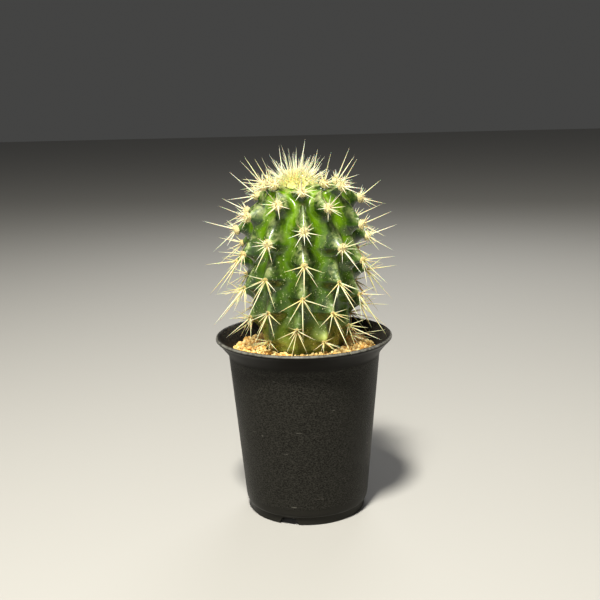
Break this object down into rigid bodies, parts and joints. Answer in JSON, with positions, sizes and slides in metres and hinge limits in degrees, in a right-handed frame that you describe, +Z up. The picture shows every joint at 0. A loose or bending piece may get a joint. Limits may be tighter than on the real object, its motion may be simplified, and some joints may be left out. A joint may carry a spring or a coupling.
{
  "type": "potted barrel cactus",
  "caption": "Young barrel cactus with ribs of conical tubercles, fanned cream spines and a woolly crown, in a tapered black nursery pot of pale granules.",
  "frame": {"origin": "on the pot's axis, at the surface that the pot stands on", "axes": "+Z up along the pot and the plant, -Y towards the viewer, +X to the viewer's right"},
  "size_m": [0.099, 0.103, 0.1901],
  "materials": {
    "pot_plastic": "black moulded plastic with a fine pebbled texture below a smoother flared lip",
    "granules": "dry pale orange clay granules, rough and dusty",
    "cactus_skin": "waxy green skin, bluer on the crests and yellower in the grooves, with cream spines",
    "crown_wool": "dense pale yellow wool with young cream spines"
  },
  "bodies": {
    "root": {"pot": "pot_plastic", "soil": "granules", "cactus": "cactus_skin", "crown": "crown_wool"}
  },
  "joints": []
}
